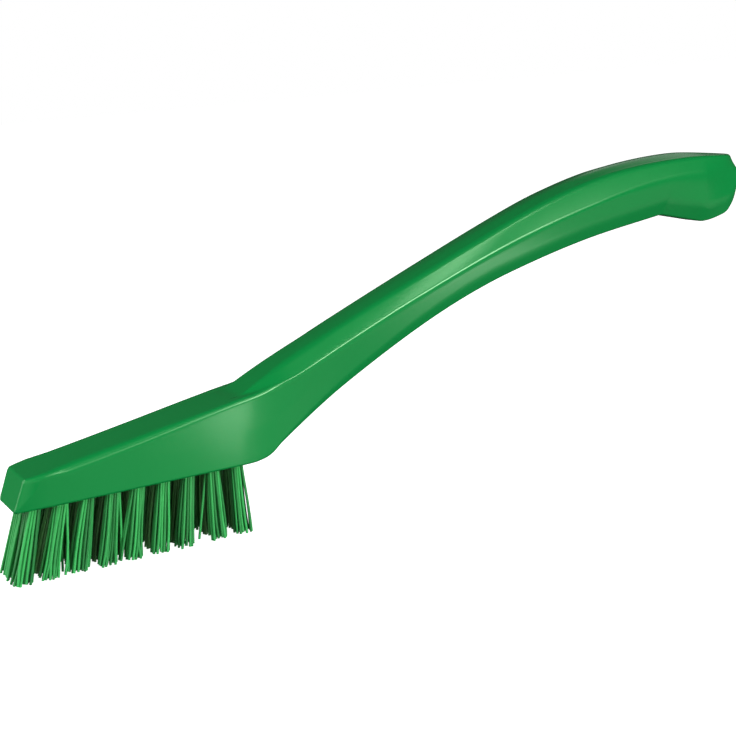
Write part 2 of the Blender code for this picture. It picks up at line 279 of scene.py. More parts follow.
drift.links.new(cloud.outputs["Fac"], both.inputs["A"])
drift.links.new(speck.outputs["Fac"], both.inputs["B"])
drift.links.new(both.outputs["Result"], blend.inputs["Factor"])
drift.links.new(entry.outputs["Dark Colour"], blend.inputs["A"])
drift.links.new(entry.outputs["Light Colour"], blend.inputs["B"])
drift.links.new(blend.outputs["Result"], leave.inputs["Colour"])
drift.links.new(both.outputs["Result"], leave.inputs["Mask"])
print("group:", drift.name, "with", len(drift.nodes), "nodes")

# %% [markdown]
# ### Satin grain
# The mould's own surface prints into the plastic: a grain finer than the eye can part, and a slow wave where the
# plastic shrank. Their mix is a height for a Bump node, and the wave alone also varies the roughness.

# %% Build the satin grain
grain, entry, leave = group_with(
    "satin_grain",
    [
        ("Grain Size", "Float", 2500.0),
        ("Wave Size", "Float", 90.0),
        ("Wave Share", "Float", 0.5),
        ("Roughness Low", "Float", 0.3),
        ("Roughness High", "Float", 0.4),
    ],
    [("Height", "Float"), ("Roughness", "Float")],
)
where = grain.nodes.new("ShaderNodeTexCoord")
fine = grain.nodes.new("ShaderNodeTexNoise")
fine.inputs["Detail"].default_value = 2.0
wave = grain.nodes.new("ShaderNodeTexNoise")
wave.inputs["Detail"].default_value = 1.0
both = grain.nodes.new("ShaderNodeMix")
both.data_type = "FLOAT"
rough_range = grain.nodes.new("ShaderNodeMapRange")
for noise, size in ((fine, "Grain Size"), (wave, "Wave Size")):
    grain.links.new(where.outputs["Object"], noise.inputs["Vector"])
    grain.links.new(entry.outputs[size], noise.inputs["Scale"])
grain.links.new(entry.outputs["Wave Share"], both.inputs["Factor"])
grain.links.new(fine.outputs["Fac"], both.inputs["A"])
grain.links.new(wave.outputs["Fac"], both.inputs["B"])
grain.links.new(wave.outputs["Fac"], rough_range.inputs["Value"])
rough_range.inputs["From Min"].default_value = 0.1
rough_range.inputs["From Max"].default_value = 0.9
grain.links.new(entry.outputs["Roughness Low"], rough_range.inputs["To Min"])
grain.links.new(entry.outputs["Roughness High"], rough_range.inputs["To Max"])
grain.links.new(both.outputs["Result"], leave.inputs["Height"])
grain.links.new(rough_range.outputs["Result"], leave.inputs["Roughness"])
print("group:", grain.name, "with", len(grain.nodes), "nodes")

# %% [markdown]
# ## The finishes
# Three finishes are needed, for the moulding, the filaments and the steel strips. Each is one Principled shader whose
# colour, roughness and bump come from the two groups. What is the same all over a piece, such as how metallic it is,
# is set on the shader itself.


# %% Put the groups into a material
def finish(name, drift_values, grain_values, bump_strength, bump_depth):
    """A Principled material whose colour, roughness and bump come from the two shared groups."""
    made = bpy.data.materials.new(name)
    made.use_nodes = True
    nodes, links = made.node_tree.nodes, made.node_tree.links
    shader = nodes["Principled BSDF"]
    tint = nodes.new("ShaderNodeGroup")
    tint.node_tree = drift
    tint.name = "tint"
    touch = nodes.new("ShaderNodeGroup")
    touch.node_tree = grain
    bump = nodes.new("ShaderNodeBump")
    bump.inputs["Strength"].default_value = bump_strength
    bump.inputs["Distance"].default_value = bump_depth
    for label, value in drift_values.items():
        tint.inputs[label].default_value = value
    for label, value in grain_values.items():
        touch.inputs[label].default_value = value
    links.new(tint.outputs["Colour"], shader.inputs["Base Color"])
    links.new(touch.outputs["Roughness"], shader.inputs["Roughness"])
    links.new(touch.outputs["Height"], bump.inputs["Height"])
    links.new(bump.outputs["Normal"], shader.inputs["Normal"])
    return made


print("every finish mixes", drift.name, "and", grain.name)

# %% [markdown]
# ### Green moulding
# The moulding is glossy green polypropylene with a satin feel: a saturated green that drifts slightly, and grain too
# fine to see except as softness in the highlights. Its sheen is a little green too, as pigment just under the skin
# tints it on the real one, so the shader's Specular Tint is green and not white.

# %% Mix the moulding's finish
GREEN_SHEEN = (0.62, 1.0, 0.62, 1.0)

moulding = finish(
    "green_moulding",
    {
        "Light Colour": (0.005, 0.275, 0.058, 1.0),
        "Dark Colour": (0.003, 0.245, 0.048, 1.0),
        "Cloud Size": 45.0,
        "Speck Size": 700.0,
        "Speck Share": 0.3,
    },
    {
        "Grain Size": 2600.0,
        "Wave Size": 70.0,
        "Wave Share": 0.35,
        "Roughness Low": 0.22,
        "Roughness High": 0.27,
    },
    bump_strength=0.15,
    bump_depth=0.00004,
)
shader = moulding.node_tree.nodes["Principled BSDF"]
shader.inputs["IOR"].default_value = 1.46
shader.inputs["Specular Tint"].default_value = GREEN_SHEEN
print("finish:", moulding.name)

# %% [markdown]
# ### Green filament
# Filament is the same green drawn into thread, so it is brighter. No two threads catch the light alike, and a material
# for each would be too many. So two values stored on the points of the bristles change the colour. "tone" is one value
# for each filament and makes it lighter or darker than the next. The other goes from 0 outside to 1 deep among the
# tufts and mixes in a duller green as painted shade, since little light gets in there.

# %% Mix the filaments' finish
filament = finish(
    "green_filament",
    {
        "Light Colour": (0.050, 0.48, 0.115, 1.0),
        "Dark Colour": (0.030, 0.33, 0.075, 1.0),
        "Cloud Size": 700.0,
        "Speck Size": 5000.0,
        "Speck Share": 0.3,
    },
    {
        "Grain Size": 9000.0,
        "Wave Size": 1500.0,
        "Wave Share": 0.5,
        "Roughness Low": 0.35,
        "Roughness High": 0.5,
    },
    bump_strength=0.2,
    bump_depth=0.00002,
)

nodes, links = filament.node_tree.nodes, filament.node_tree.links
shader = nodes["Principled BSDF"]
shader.inputs["Specular Tint"].default_value = GREEN_SHEEN
own_tone = nodes.new("ShaderNodeAttribute")
own_tone.attribute_name = "tone"
# painted shade: how deep a point lies among the tufts, stored on the bristles' points
painted_shade = nodes.new("ShaderNodeAttribute")
painted_shade.attribute_name = "painted_shade"
tone_range = nodes.new("ShaderNodeMapRange")
tone_range.inputs["To Min"].default_value = 0.48
tone_range.inputs["To Max"].default_value = 1.30
# painted shade: a duller green mixed into the filament colour deep among the tufts
painted_shade_mix = nodes.new("ShaderNodeMix")
painted_shade_mix.data_type = "RGBA"
painted_shade_mix.inputs["B"].default_value = (0.13, 0.36, 0.12, 1.0)
scaled = nodes.new("ShaderNodeVectorMath")
scaled.operation = "SCALE"
links.new(own_tone.outputs["Fac"], tone_range.inputs["Value"])
links.new(painted_shade.outputs["Fac"], painted_shade_mix.inputs["Factor"])
links.new(nodes["tint"].outputs["Colour"], painted_shade_mix.inputs["A"])
links.new(painted_shade_mix.outputs["Result"], scaled.inputs[0])
links.new(tone_range.outputs["Result"], scaled.inputs["Scale"])
links.new(scaled.outputs["Vector"], shader.inputs["Base Color"])
print("finish:", filament.name)

# %% [markdown]
# ### Steel strip
# The anchors are cut from plain drawn steel strip, which is bright with fine dull patches. A metallic shader with the
# same two groups at a small scale gives both.

# %% Mix the anchors' finish
steel = finish(
    "anchor_steel",
    {
        "Light Colour": (0.62, 0.62, 0.61, 1.0),
        "Dark Colour": (0.42, 0.42, 0.42, 1.0),
        "Cloud Size": 900.0,
        "Speck Size": 6000.0,
        "Speck Share": 0.5,
    },
    {
        "Grain Size": 8000.0,
        "Wave Size": 1200.0,
        "Wave Share": 0.3,
        "Roughness Low": 0.28,
        "Roughness High": 0.45,
    },
    bump_strength=0.3,
    bump_depth=0.00002,
)
steel.node_tree.nodes["Principled BSDF"].inputs["Metallic"].default_value = 1.0
print("finish:", steel.name)

# %% [markdown]
# ## Sizes of the moulding
# The CAD model was drawn from a short list of sizes, and the dressed moulding keeps them: the wedge of the block, the
# lines of the handle's top, ridge and underside, and the round of its end. Here they are in millimetres. Places along
# the brush are counted from the foot of the nose, and heights from the underside of the block.

# %% Restate the sizes
BRISTLES = 16.2
NOSE_TOP = 7.2
NOSE_RAKE = 2.1
NOSE_REACH = 0.85
NOSE_CORNER_LENGTH = 4.6
NOSE_CORNER_DEPTH = 1.3
BLOCK_SLOPE = math.tan(math.radians(9.75))
BLOCK_TOP_HALF = 8.1
BLOCK_FOOT_HALF = 6.9
FOOT_EDGE = 0.4
ROOT = 54.0
HANDLE = 150.0
END = ROOT + HANDLE
FORK = 50.5
FORK_LENGTH = 15.0
SHOULDER_BULGE = 0.08
HANDLE_BASE = 15.52
nose_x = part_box("brush_body")[0].x


def block_top(along):
    """Height of the block's flat top."""
    return NOSE_TOP + BLOCK_SLOPE * (along - NOSE_RAKE)


print("block", round(block_top(ROOT), 1), "mm tall at the root of the handle; nose at x =", round(nose_x, 4), "m")

# %% [markdown]
# ## The lines of the moulding
# A pattern maker draws such a handle with a few long curves: its top, its ridge, its underside and their distances
# from the middle. Each curve here is a short list of points read off the photo through the camera, with a smooth line
# drawn through them, so a single point can be moved to mend a bulge. The first curves run by the share of the handle,
# from 0 at its root to 1 at its end. The last ones run by the place along the brush.


# %% Draw a smooth line through points
def line_through(*points):
    """A smooth line through points of (place, value)."""
    places = [place for place, _ in points]
    values = [value for _, value in points]
    last = len(points) - 1
    slopes = []
    for i in range(len(points)):
        before, after = max(i - 1, 0), min(i + 1, last)
        slopes.append((values[after] - values[before]) / (places[after] - places[before]))

    def value_at(place):
        place = min(max(place, places[0]), places[last])
        i = min(bisect.bisect_right(places, place), last) - 1
        run = places[i + 1] - places[i]
        t = (place - places[i]) / run
        from_left = values[i] * (1 + 2 * t) * (1 - t) ** 2 + slopes[i] * run * t * (1 - t) ** 2
        from_right = values[i + 1] * t * t * (3 - 2 * t) + slopes[i + 1] * run * t * t * (t - 1)
        return from_left + from_right

    return value_at


print("halfway on a line from 0 to 2:", line_through((0, 0), (1, 2))(0.5))

# %% Draw the lines of the handle
top_rise = line_through(
    (-0.0233, 0.01),
    (-0.004, 0.45),
    (0.01, 1.4),
    (0.037, 3.45),
    (0.072, 6.0),
    (0.12, 9.1),
    (0.3, 19.9),
    (0.5, 31.35),
    (0.6, 36.25),
    (0.72, 40.05),
    (0.87, 41.45),
    (1, 40.3),
)
top_half = line_through((-0.025, 4.7), (0.03, 4.6), (0.075, 4.4), (0.15, 4.4), (0.6, 5.6), (0.8, 6.4), (1, 7.0))
top_crown = line_through((0, 0), (0.3, 0.2), (0.7, 0.6), (0.87, 0.8), (0.95, 0.35), (1, 0))
ridge_rise = line_through(
    (-0.0233, 0.01),
    (0, 0.55),
    (0.0208, 1.03),
    (0.056, 2.05),
    (0.0916, 3.5),
    (0.128, 5.5),
    (0.1647, 7.7),
    (0.2011, 9.9),
    (0.3, 15.65),
    (0.5, 25.95),
    (0.7, 33.6),
    (0.82, 36.1),
    (0.92, 36.3),
    (1, 35.6),
)
ridge_inset = line_through(
    (-0.02, 0), (0.01, 0.04), (0.06, 0.35), (0.16, 0.9), (0.5, 0.9), (0.7, 0.4), (0.9, 0.1), (1, 0.1)
)
bottom_rise = line_through(
    (0.01, 0), (0.03, 0.5), (0.042, 1.25), (0.057, 2.8), (0.09, 5.6), (0.18, 13.3), (0.3, 22.3), (0.4, 28.6),
    (0.5, 33.4), (0.66, 38.8), (0.826, 42.3)
)
chamfer_rise = line_through((0, 0.4), (0.05, 0.6), (0.2, 2.3), (0.6, 3.6), (0.8, 4.2), (1, 4.5))
chamfer_inset = line_through((0, 0.4), (0.3, 1.5), (0.8, 2.7), (1, 3.2))
shoulder_round = line_through((0, 0.2), (0.08, 1.4), (0.2, 1.8), (0.5, 2.2), (0.8, 1.8), (1, 1.2))
print("handle rises", round(top_rise(0.87), 1), "mm above its root")

# %% Draw the lines along the whole brush
end_top_drop = line_through((202.4, 0), (203.4, 0.1), (204, 0.4))
end_bottom_lift = line_through(
    (193, 0), (194.6, 0.1), (196.4, 0.4), (198.2, 0.8), (200, 1.3), (201.1, 2.0), (201.8, 2.8), (202.5, 3.7),
    (203.3, 5.2), (203.8, 7.2), (204, 9.2)
)
foot_half = line_through(
    (46, BLOCK_FOOT_HALF), (52, 6.8), (56, 6.45), (60, 5.9), (64, 5.25), (68, 4.65), (72, 4.25), (78, 3.95), (84, 3.9)
)
edge_round = line_through(
    (2.1, 0.9), (6.7, 1.5), (12, 2.2), (28, 2.1), (42, 1.5), (54, 1.25), (65, 1.3), (80, 1.5), (105, 1.5), (125, 1.2),
    (145, 0.8), (160, 0.9), (170, 1.8), (182, 3.0)
)
print("half width of the foot at the root:", round(foot_half(ROOT), 2), "mm")

# %% [markdown]
# ## The section of the block
# Anywhere along the brush, a saw cut would show six corners on each side, and only their places change. So one
# function gives the corners at any place, and another rounds each corner off. Three numbers make a corner: how far
# out, how high, and how soft. The block needs fewer corners than the handle, so two of its six lie on its flat top.
# The corner on the side matters at the nose, where it climbs from the foot to the top edge and so draws the
# three-sided facet there.

# %% Find the corners of the block
CRISP = 0.2
TOP_POINTS = (4.5, 4.9)
NOSE_FOOT_TURN = 0.4
CLIMB_LEAST = 0.06
CLIMB_MOST = 0.82
CLIMB_FALL = 0.36
CLIMB_FALL_LENGTH = 10.0
BLOCK_SIDE_SOFTNESS = 0.35


def ease(share):
    """Goes from 0 to 1 without a kink at either end."""
    share = min(1.0, max(0.0, share))
    return share * share * (3 - 2 * share)


def block_corners(along):
    """Corners of half a section through the block, as (across, up, softness)."""
    top = block_top(along)
    corner = max(0.0, 1 - (along - NOSE_RAKE) / NOSE_CORNER_LENGTH)
    top_edge = BLOCK_TOP_HALF - NOSE_CORNER_DEPTH * corner**2
    foot = foot_half(along) - NOSE_FOOT_TURN * corner
    climb = min(CLIMB_MOST, max(CLIMB_LEAST, 1 - corner))
    if corner == 0.0:
        climb = CLIMB_MOST - CLIMB_FALL * ease((along - NOSE_RAKE - NOSE_CORNER_LENGTH) / CLIMB_FALL_LENGTH)
    side = foot + (BLOCK_TOP_HALF - foot) * climb
    return [
        (TOP_POINTS[0], top, CRISP),
        (TOP_POINTS[1], top, CRISP),
        (top_edge, top, edge_round(along)),
        (side, FOOT_EDGE + (top - FOOT_EDGE) * climb, BLOCK_SIDE_SOFTNESS),
        (foot, FOOT_EDGE, CRISP),
        (foot - FOOT_EDGE, 0.0, CRISP),
    ]


for along in (NOSE_RAKE, 10.0, 30.0):
    print("corners at", along, [(round(y, 1), round(z, 1)) for y, z, _ in block_corners(along)])

# %% [markdown]
# ## The section of the handle
# On the handle the six corners are the edge of the narrow top, the foot of the sloping shoulder, the ridge, one on the
# side, and the two of the chamfer underneath. At the fork the shoulder starts on the block's top edge and then opens
# up, which draws the long facet between the two lines that the photo shows there. Near the end the underside dips to
# give the hand a stop, and over the last 14 mm the sides and the top turn in, which makes its blunt cut corners.

# %% Find the corners of the handle
END_LENGTH = 14.0
END_TURN_IN = 3.3
END_TOP_TURN_IN = 6.4
END_DIP = 3.4
END_DIP_START = 0.826
END_DIP_LENGTH = 14.0
END_RIDGE_START = 0.8
END_RIDGE_HIGHEST = 0.78

SPREAD_AT_FORK = 0.06
SPREAD_GAIN = 0.88
SPREAD_LOSS = 0.39
MERGE_DELAY = 4.0
BULGE_SOFTNESS = (0.6, 24)
TOP_SOFTNESS_LIMIT = 0.6
CHAMFER_HIGHEST = 0.42
CHAMFER_GAP = 1.0
CHAMFER_SOFTNESS_GAINS = (0.6, 0.8)
CHAMFER_SOFTNESS_PLACES = (0.2, 0.3)
BOTTOM_SOFTNESS_GAIN = 0.4
ROOT_SOFTNESS_LENGTH = 0.1
HANDLE_SIDE_SOFTNESS = 0.4


def handle_corners(along):
    """Corners of half a section through the handle, as (across, up, softness)."""
    share = (along - ROOT) / HANDLE
    past_fork = ease((along - FORK) / FORK_LENGTH)
    past_shoulder = ease((along - FORK - FORK_LENGTH) / FORK_LENGTH)
    past_root = ease(share / ROOT_SOFTNESS_LENGTH)

    # the end turns in by this much
    turn_in = max(0.0, 1 - (END - along) / END_LENGTH)
    cut = END_TURN_IN * turn_in

    # heights
    top = HANDLE_BASE + top_rise(share) - end_top_drop(along)
    bottom = bottom_rise(share)
    bottom -= END_DIP * min(1.0, max(0.0, (share - END_DIP_START) * HANDLE / END_DIP_LENGTH))
    bottom += end_bottom_lift(along)
    height = top - bottom
    ridge = HANDLE_BASE + ridge_rise(share)
    if share > END_RIDGE_START:
        ridge = min(ridge, bottom + END_RIDGE_HIGHEST * height)
    chamfer = min(bottom + min(chamfer_rise(share), CHAMFER_HIGHEST * height), ridge - CHAMFER_GAP)

    # half widths
    top_edge = top_half(share) - END_TOP_TURN_IN * turn_in**4
    ridge_edge = BLOCK_TOP_HALF - ridge_inset(share) - cut
    bottom_edge = foot_half(along) - FOOT_EDGE
    chamfer_edge = bottom_edge + chamfer_inset(share)
    side_edge = 0.5 * (ridge_edge + chamfer_edge - cut / 2)

    # the foot of the shoulder lies on the ridge at the fork and climbs away from it behind it
    spread = SPREAD_AT_FORK + SPREAD_GAIN * past_fork - SPREAD_LOSS * past_shoulder
    merge = ease((along - FORK - MERGE_DELAY) / (FORK_LENGTH - MERGE_DELAY))
    foot = (1 - merge) * ridge + merge * (top + (ridge - top) * spread)
    bulge = SHOULDER_BULGE * past_shoulder

    chamfer_softness = CRISP + CHAMFER_SOFTNESS_GAINS[0] * past_root
    chamfer_softness += CHAMFER_SOFTNESS_GAINS[1] * ease(
        (share - CHAMFER_SOFTNESS_PLACES[0]) / CHAMFER_SOFTNESS_PLACES[1]
    )
    return [
        (top_edge, top, min(shoulder_round(share), TOP_SOFTNESS_LIMIT * top_edge)),
        (
            top_edge + (ridge_edge - top_edge) * spread + bulge / 2,
            foot + bulge,
            BULGE_SOFTNESS[0] + BULGE_SOFTNESS[1] * bulge,
        ),
        (ridge_edge, ridge, edge_round(along)),
        (side_edge, 0.5 * (ridge + chamfer), HANDLE_SIDE_SOFTNESS),
        (chamfer_edge - cut / 2, chamfer, chamfer_softness),
        (bottom_edge, bottom, CRISP + BOTTOM_SOFTNESS_GAIN * past_root),
    ]


for along in (60.0, 130.0, 195.0):
    print("corners at", along, [(round(y, 1), round(z, 1)) for y, z, _ in handle_corners(along)])

# %% [markdown]
# ## Rounding the corners
# A moulding has no knife edges. Each corner is swapped for seven points on a small curve that leaves one flat and
# meets the next, and its softness says how far back the curve starts. The softness of the ridge changes along the
# brush, because its bright line is wide at the heel, thin along the handle and lost at the end. Where two corners lie
# close together, each gives the other room.

# %% Round a corner off
CORNER_POINTS = 7
CORNER_LIMIT = 0.95


def reach_of(corner, neighbour):
    """How far back along a flat a corner's curve may start, when the neighbour's curve needs its part as well."""
    flat = math.dist(corner[:2], neighbour[:2])
    return min(corner[2], CORNER_LIMIT * flat * corner[2] / (corner[2] + neighbour[2]))


def rounded(before, corner, after):
    """Points on the curve that replaces a corner."""
    here = Vector(corner[:2])
    into, out = Vector(before[:2]) - here, Vector(after[:2]) - here
    first = here + into.normalized() * reach_of(corner, before)
    last = here + out.normalized() * reach_of(corner, after)
    points = []
    for i in range(CORNER_POINTS):
        t = i / (CORNER_POINTS - 1)
        points.append(first * (1 - t) ** 2 + here * 2 * t * (1 - t) + last * t * t)
    return points


print("a rounded corner has", len(rounded((0, 9, 1), (9, 9, 1), (9, 0, 1))), "points")

# %% [markdown]
# ## The ring round the brush
# All corners of one side, rounded off, and their mirror image make a closed ring, and a skin over many such rings is
# the moulding. The top of the handle is not quite flat but crowns a little in the middle, and the ring at the nose
# leans back with the nose's rake. An inset shrinks a ring, which rounds off the two ends of the moulding.

# %% Turn corners into a ring of points
CROWN_PLACE = 0.3
CROWN_SHARE = 0.91
CROWN_HEIGHT = 8.0
CROWN_WIDTH = 5.0
INSET_LIMIT = 0.9


def ring_at(along, inset=0.0):
    """The whole ring round the brush at this place, as points in the row frame."""
    if along < FORK:
        corners, crown, rake = block_corners(along), 0.0, NOSE_RAKE + NOSE_REACH
        rake *= max(0.0, 1 - (along - NOSE_RAKE) / NOSE_CORNER_LENGTH)
    else:
        corners, crown, rake = handle_corners(along), top_crown((along - ROOT) / HANDLE), 0.0
    top, bottom = corners[0][1], corners[-1][1]
    crown *= min(1.0, (top - bottom) / CROWN_HEIGHT, corners[0][0] / CROWN_WIDTH)
    walk = [(0.0, top, 0.0), *corners, (0.0, bottom, 0.0)]
    half = [Vector((0.0, top + crown)), Vector((CROWN_PLACE * corners[0][0], top + CROWN_SHARE * crown))]
    for before, corner, after in zip(walk, walk[1:], walk[2:]):
        half.extend(rounded(before, corner, after))
    half.append(Vector((0.0, bottom)))
    middle = 0.5 * (top + bottom)
    wide = max(point.x for point in half)
    ring = []
    for point in half:
        point.x *= 1 - inset / wide
        point.y = middle + (point.y - middle) * (1 - min(INSET_LIMIT, inset / (0.5 * (top - bottom))))
        ring.append((along - rake * (1 - point.y / top), -point.x, point.y))
    ring += [(x, -y, z) for x, y, z in ring[-2:0:-1]]
    return [Vector((nose_x + x * MM, y * MM, (z + BRISTLES) * MM)) for x, y, z in ring]


print("points in a ring:", len(ring_at(30.0)))

# %% [markdown]
# ## The moulding itself
# By hand one would start from a ring at the nose, extrude it along the brush one station at a time and shape each new
# ring. The same is done here: a circle primitive becomes the ring at the nose, and each extrude is followed by
# setting its ring to the section at that station. Stations crowd together where the outline turns fast: at the nose,
# at the fork where the handle leaves the block, where the underside dips, and round the end.


# %% Choose the stations
def steps(start, stop, count):
    """Even places after start, up to and including stop."""
    return [start + (stop - start) * (i + 1) / count for i in range(count)]


NOSE_ROUND = 0.5
NOSE_ROUND_STEPS = 6
NOSE_STOP = NOSE_RAKE + NOSE_CORNER_LENGTH
# where each run of stations stops, and how many it has
RUNS = (
    (NOSE_STOP, 10), (NOSE_STOP + 6.0, 4), (FORK - 0.2, 10), (72.0, 36), (175.0, 50), (181.0, 12), (190.0, 6),
    (200.4, 13), (203.2, 9), (END, 5)
)
END_INSETS = (0.2, 0.5)

turns = [math.radians(90.0 * i / NOSE_ROUND_STEPS) for i in range(NOSE_ROUND_STEPS + 1)]
stations = [(NOSE_RAKE + NOSE_ROUND * (1 - math.cos(turn)), NOSE_ROUND * (1 - math.sin(turn))) for turn in turns]
start = NOSE_RAKE + NOSE_ROUND
for stop, count in RUNS:
    stations += [(along, 0.0) for along in steps(start, stop, count)]
    start = stop
stations += [(END, inset) for inset in END_INSETS]
print("stations:", len(stations), "from", stations[0][0], "to", stations[-1][0])

# %% Extrude the ring from station to station
rings = [ring_at(along, inset) for along, inset in stations]
bpy.ops.object.select_all(action="DESELECT")
bpy.ops.mesh.primitive_circle_add(vertices=len(rings[0]), radius=BLOCK_TOP_HALF * MM, fill_type="NOTHING")
body = bpy.context.object
bpy.ops.object.mode_set(mode="EDIT")
bpy.ops.mesh.select_all(action="SELECT")
skin = bmesh.from_edit_mesh(body.data)
skin.verts.ensure_lookup_table()
for vert, point in zip(skin.verts, rings[0]):
    vert.co = point
for ring in rings[1:]:
    bpy.ops.mesh.extrude_region_move(TRANSFORM_OT_translate={"value": (MM, 0.0, 0.0)})
    skin = bmesh.from_edit_mesh(body.data)
    skin.verts.ensure_lookup_table()
    fresh = [vert for vert in skin.verts if vert.select]
    for vert, point in zip(fresh, ring):
        vert.co = point
bmesh.update_edit_mesh(body.data)
print("rings placed:", len(rings), "points:", len(skin.verts))

# %% Close the nose and the end
count = len(rings[0])
for first in (0, count * (len(rings) - 1)):
    bpy.ops.mesh.select_all(action="DESELECT")
    bpy.ops.mesh.select_mode(type="VERT")
    skin = bmesh.from_edit_mesh(body.data)
    skin.verts.ensure_lookup_table()
    for vert in skin.verts[first : first + count]:
        vert.select = True
    skin.select_flush(True)
    bmesh.update_edit_mesh(body.data)
    bpy.ops.mesh.edge_face_add()
bpy.ops.mesh.select_all(action="SELECT")
bpy.ops.mesh.normals_make_consistent(inside=False)
bpy.ops.object.mode_set(mode="OBJECT")
print("faces in the moulding:", len(body.data.polygons))

# %% [markdown]
# ## The holes for the tufts
# Each tuft stands in its own blind hole, drilled at the lean of the tuft: the front tufts rake towards the nose and
# the rear ones stand straight. A steel strip is pressed across the bottom of each hole and bites into its walls. So
# the drill is a cylinder with a short bar through it that makes the slot for the strip. It is copied to the 27 places
# and joined, and a Boolean takes all of them out at once. The volume taken out is printed.

# %% Work out where each tuft stands
# lean is in degrees, towards the nose where negative, by the share of the block's length
COLUMNS = 9
COLUMN_PITCH = 5.9
ROW_PITCH = 4.0
FIRST_COLUMN = 4.2
HOLE_RADIUS = 1.7
LEAN = ((0.0, -16.2), (0.125, -16.0), (0.25, -14.5), (0.375, -11.8), (0.75, -9.4), (0.875, -1.8), (1.0, -0.5))
OUTWARD_LEAN = 2.0


def lean_at(share):
    """Lean of a column in degrees, straight between the listed ones."""
    for (start, low), (stop, high) in zip(LEAN, LEAN[1:]):
        if share <= stop:
            return low + (high - low) * (share - start) / (stop - start)
    return LEAN[-1][1]


def tuft_frame(row, column):
    """Origin in the middle of the hole's mouth, Z out of the hole."""
    side = row - 1
    mouth = Vector((nose_x + (FIRST_COLUMN + COLUMN_PITCH * column) * MM, ROW_PITCH * side * MM, BRISTLES * MM))
    lean = math.radians(lean_at(column / (COLUMNS - 1)))
    turn = Matrix.Rotation(-lean, 4, "Y") @ Matrix.Rotation(math.pi + math.radians(OUTWARD_LEAN) * side, 4, "X")
    return Matrix.Translation(mouth) @ turn


tuft_places = {
    f"{letter}{column + 1}": tuft_frame(row, column) for row, letter in enumerate("abc") for column in range(COLUMNS)
}
print("tufts:", len(tuft_places), "first mouth at", [round(v, 4) for v in tuft_places["a1"].translation])


# %% Helpers for cutting and measuring
def combine(piece, other, operation):
    """Joins another closed piece to this one, or cuts it out, as the operation says."""
    only(piece)
    step = piece.modifiers.new("combine", "BOOLEAN")
    step.operation = operation
    step.solver = "EXACT"
    step.object = other
    bpy.ops.object.modifier_apply(modifier=step.name)


def plastic_in(piece):
    """Volume of a closed piece in cubic millimetres."""
    shape = bmesh.new()
    shape.from_mesh(piece.data)
    volume = shape.calc_volume() / MM**3
    shape.free()
    return volume


before = plastic_in(body)
print("plastic before drilling:", round(before), "mm3")

# %% Make the drill
HOLE_DEPTH = 4.6
ANCHOR_DEPTH = 2.7
SLOT_SIZE = (4.6, 1.0, 1.8)
DRILL_SIDES = 24
DRILL_ABOVE = 2.0

bpy.ops.object.select_all(action="DESELECT")
bpy.ops.mesh.primitive_cylinder_add(
    vertices=DRILL_SIDES, radius=HOLE_RADIUS * MM, depth=(HOLE_DEPTH + DRILL_ABOVE) * MM,
    location=(0.0, 0.0, (DRILL_ABOVE - HOLE_DEPTH) / 2 * MM)
)
drill = bpy.context.object
bpy.ops.object.transform_apply(location=True, rotation=False, scale=False)
bpy.ops.object.select_all(action="DESELECT")
bpy.ops.mesh.primitive_cube_add(size=MM, location=(0.0, 0.0, -ANCHOR_DEPTH * MM))
slot = bpy.context.object
slot.scale = SLOT_SIZE
bpy.ops.object.transform_apply(location=True, rotation=False, scale=True)
combine(drill, slot, "UNION")
print("faces in the drill:", len(drill.data.polygons))

# %% Drill the holes
drills = []
for tuft_place in tuft_places.values():
    bit = drill.copy()
    bit.data = drill.data.copy()
    bpy.context.collection.objects.link(bit)
    bit.matrix_world = tuft_place
    drills.append(bit)
bpy.data.objects.remove(drill)
bpy.context.view_layer.update()
only(*drills)
bpy.ops.object.join()
drills = bpy.context.object
combine(body, drills, "DIFFERENCE")
bpy.data.objects.remove(drills)
print("faces after drilling:", len(body.data.polygons), "drilled out:", round(before - plastic_in(body)), "mm3")

# %% [markdown]
# ## Shading the moulding
# Wide flats next to narrow rounds shade badly when every normal is a plain average. Edges over a limit, which here
# are only the rims of the holes, stay sharp, and the Weighted Normal modifier lets the wide faces win elsewhere.

# %% Shade it and let it stand for the CAD moulding
RIM_ANGLE = 35.0
FLAT_WEIGHT = 70

only(body)
bpy.ops.object.shade_smooth_by_angle(angle=math.radians(RIM_ANGLE))
even = body.modifiers.new("flat_flats", "WEIGHTED_NORMAL")
even.keep_sharp = True
even.weight = FLAT_WEIGHT
bpy.ops.object.modifier_apply(modifier=even.name)
body.data.materials.clear()
body.data.materials.append(moulding)
finish_piece(body, "moulding", "moulding", "brush_body")
print("moulding spans", [round(v, 4) for v in body.dimensions])

# %% [markdown]
# ## One filament
# A filament is a thread of plastic a little over half a millimetre thick, cut square at its tip. Hundreds of them are
# needed, so each may only have a few dozen faces: six sides, five lengths to bend in, and a small chamfer at the tip.
# It is modelled once, one unit long and one unit in radius, and every copy is sized and bent as it is placed.

# %% Model one filament
FILAMENT_SIDES = 6
FILAMENT_LENGTHS = 5
TIP_CHAMFER = 0.2
TIP_RISE = 0.006

bpy.ops.object.select_all(action="DESELECT")
bpy.ops.mesh.primitive_circle_add(vertices=FILAMENT_SIDES, radius=1.0, fill_type="NGON")
thread = bpy.context.object
bpy.ops.object.mode_set(mode="EDIT")
bpy.ops.mesh.select_mode(type="FACE")
bpy.ops.mesh.select_all(action="SELECT")
for i in range(FILAMENT_LENGTHS):
    bpy.ops.mesh.extrude_region_move(TRANSFORM_OT_translate={"value": (0.0, 0.0, 1.0 / FILAMENT_LENGTHS)})
bpy.ops.mesh.inset(thickness=TIP_CHAMFER)
bpy.ops.transform.translate(value=(0.0, 0.0, TIP_RISE))
bpy.ops.mesh.select_all(action="SELECT")
bpy.ops.mesh.normals_make_consistent(inside=False)
bpy.ops.object.mode_set(mode="OBJECT")
thread_points = [vert.co.copy() for vert in thread.data.vertices]
thread_faces = [tuple(face.vertices) for face in thread.data.polygons]
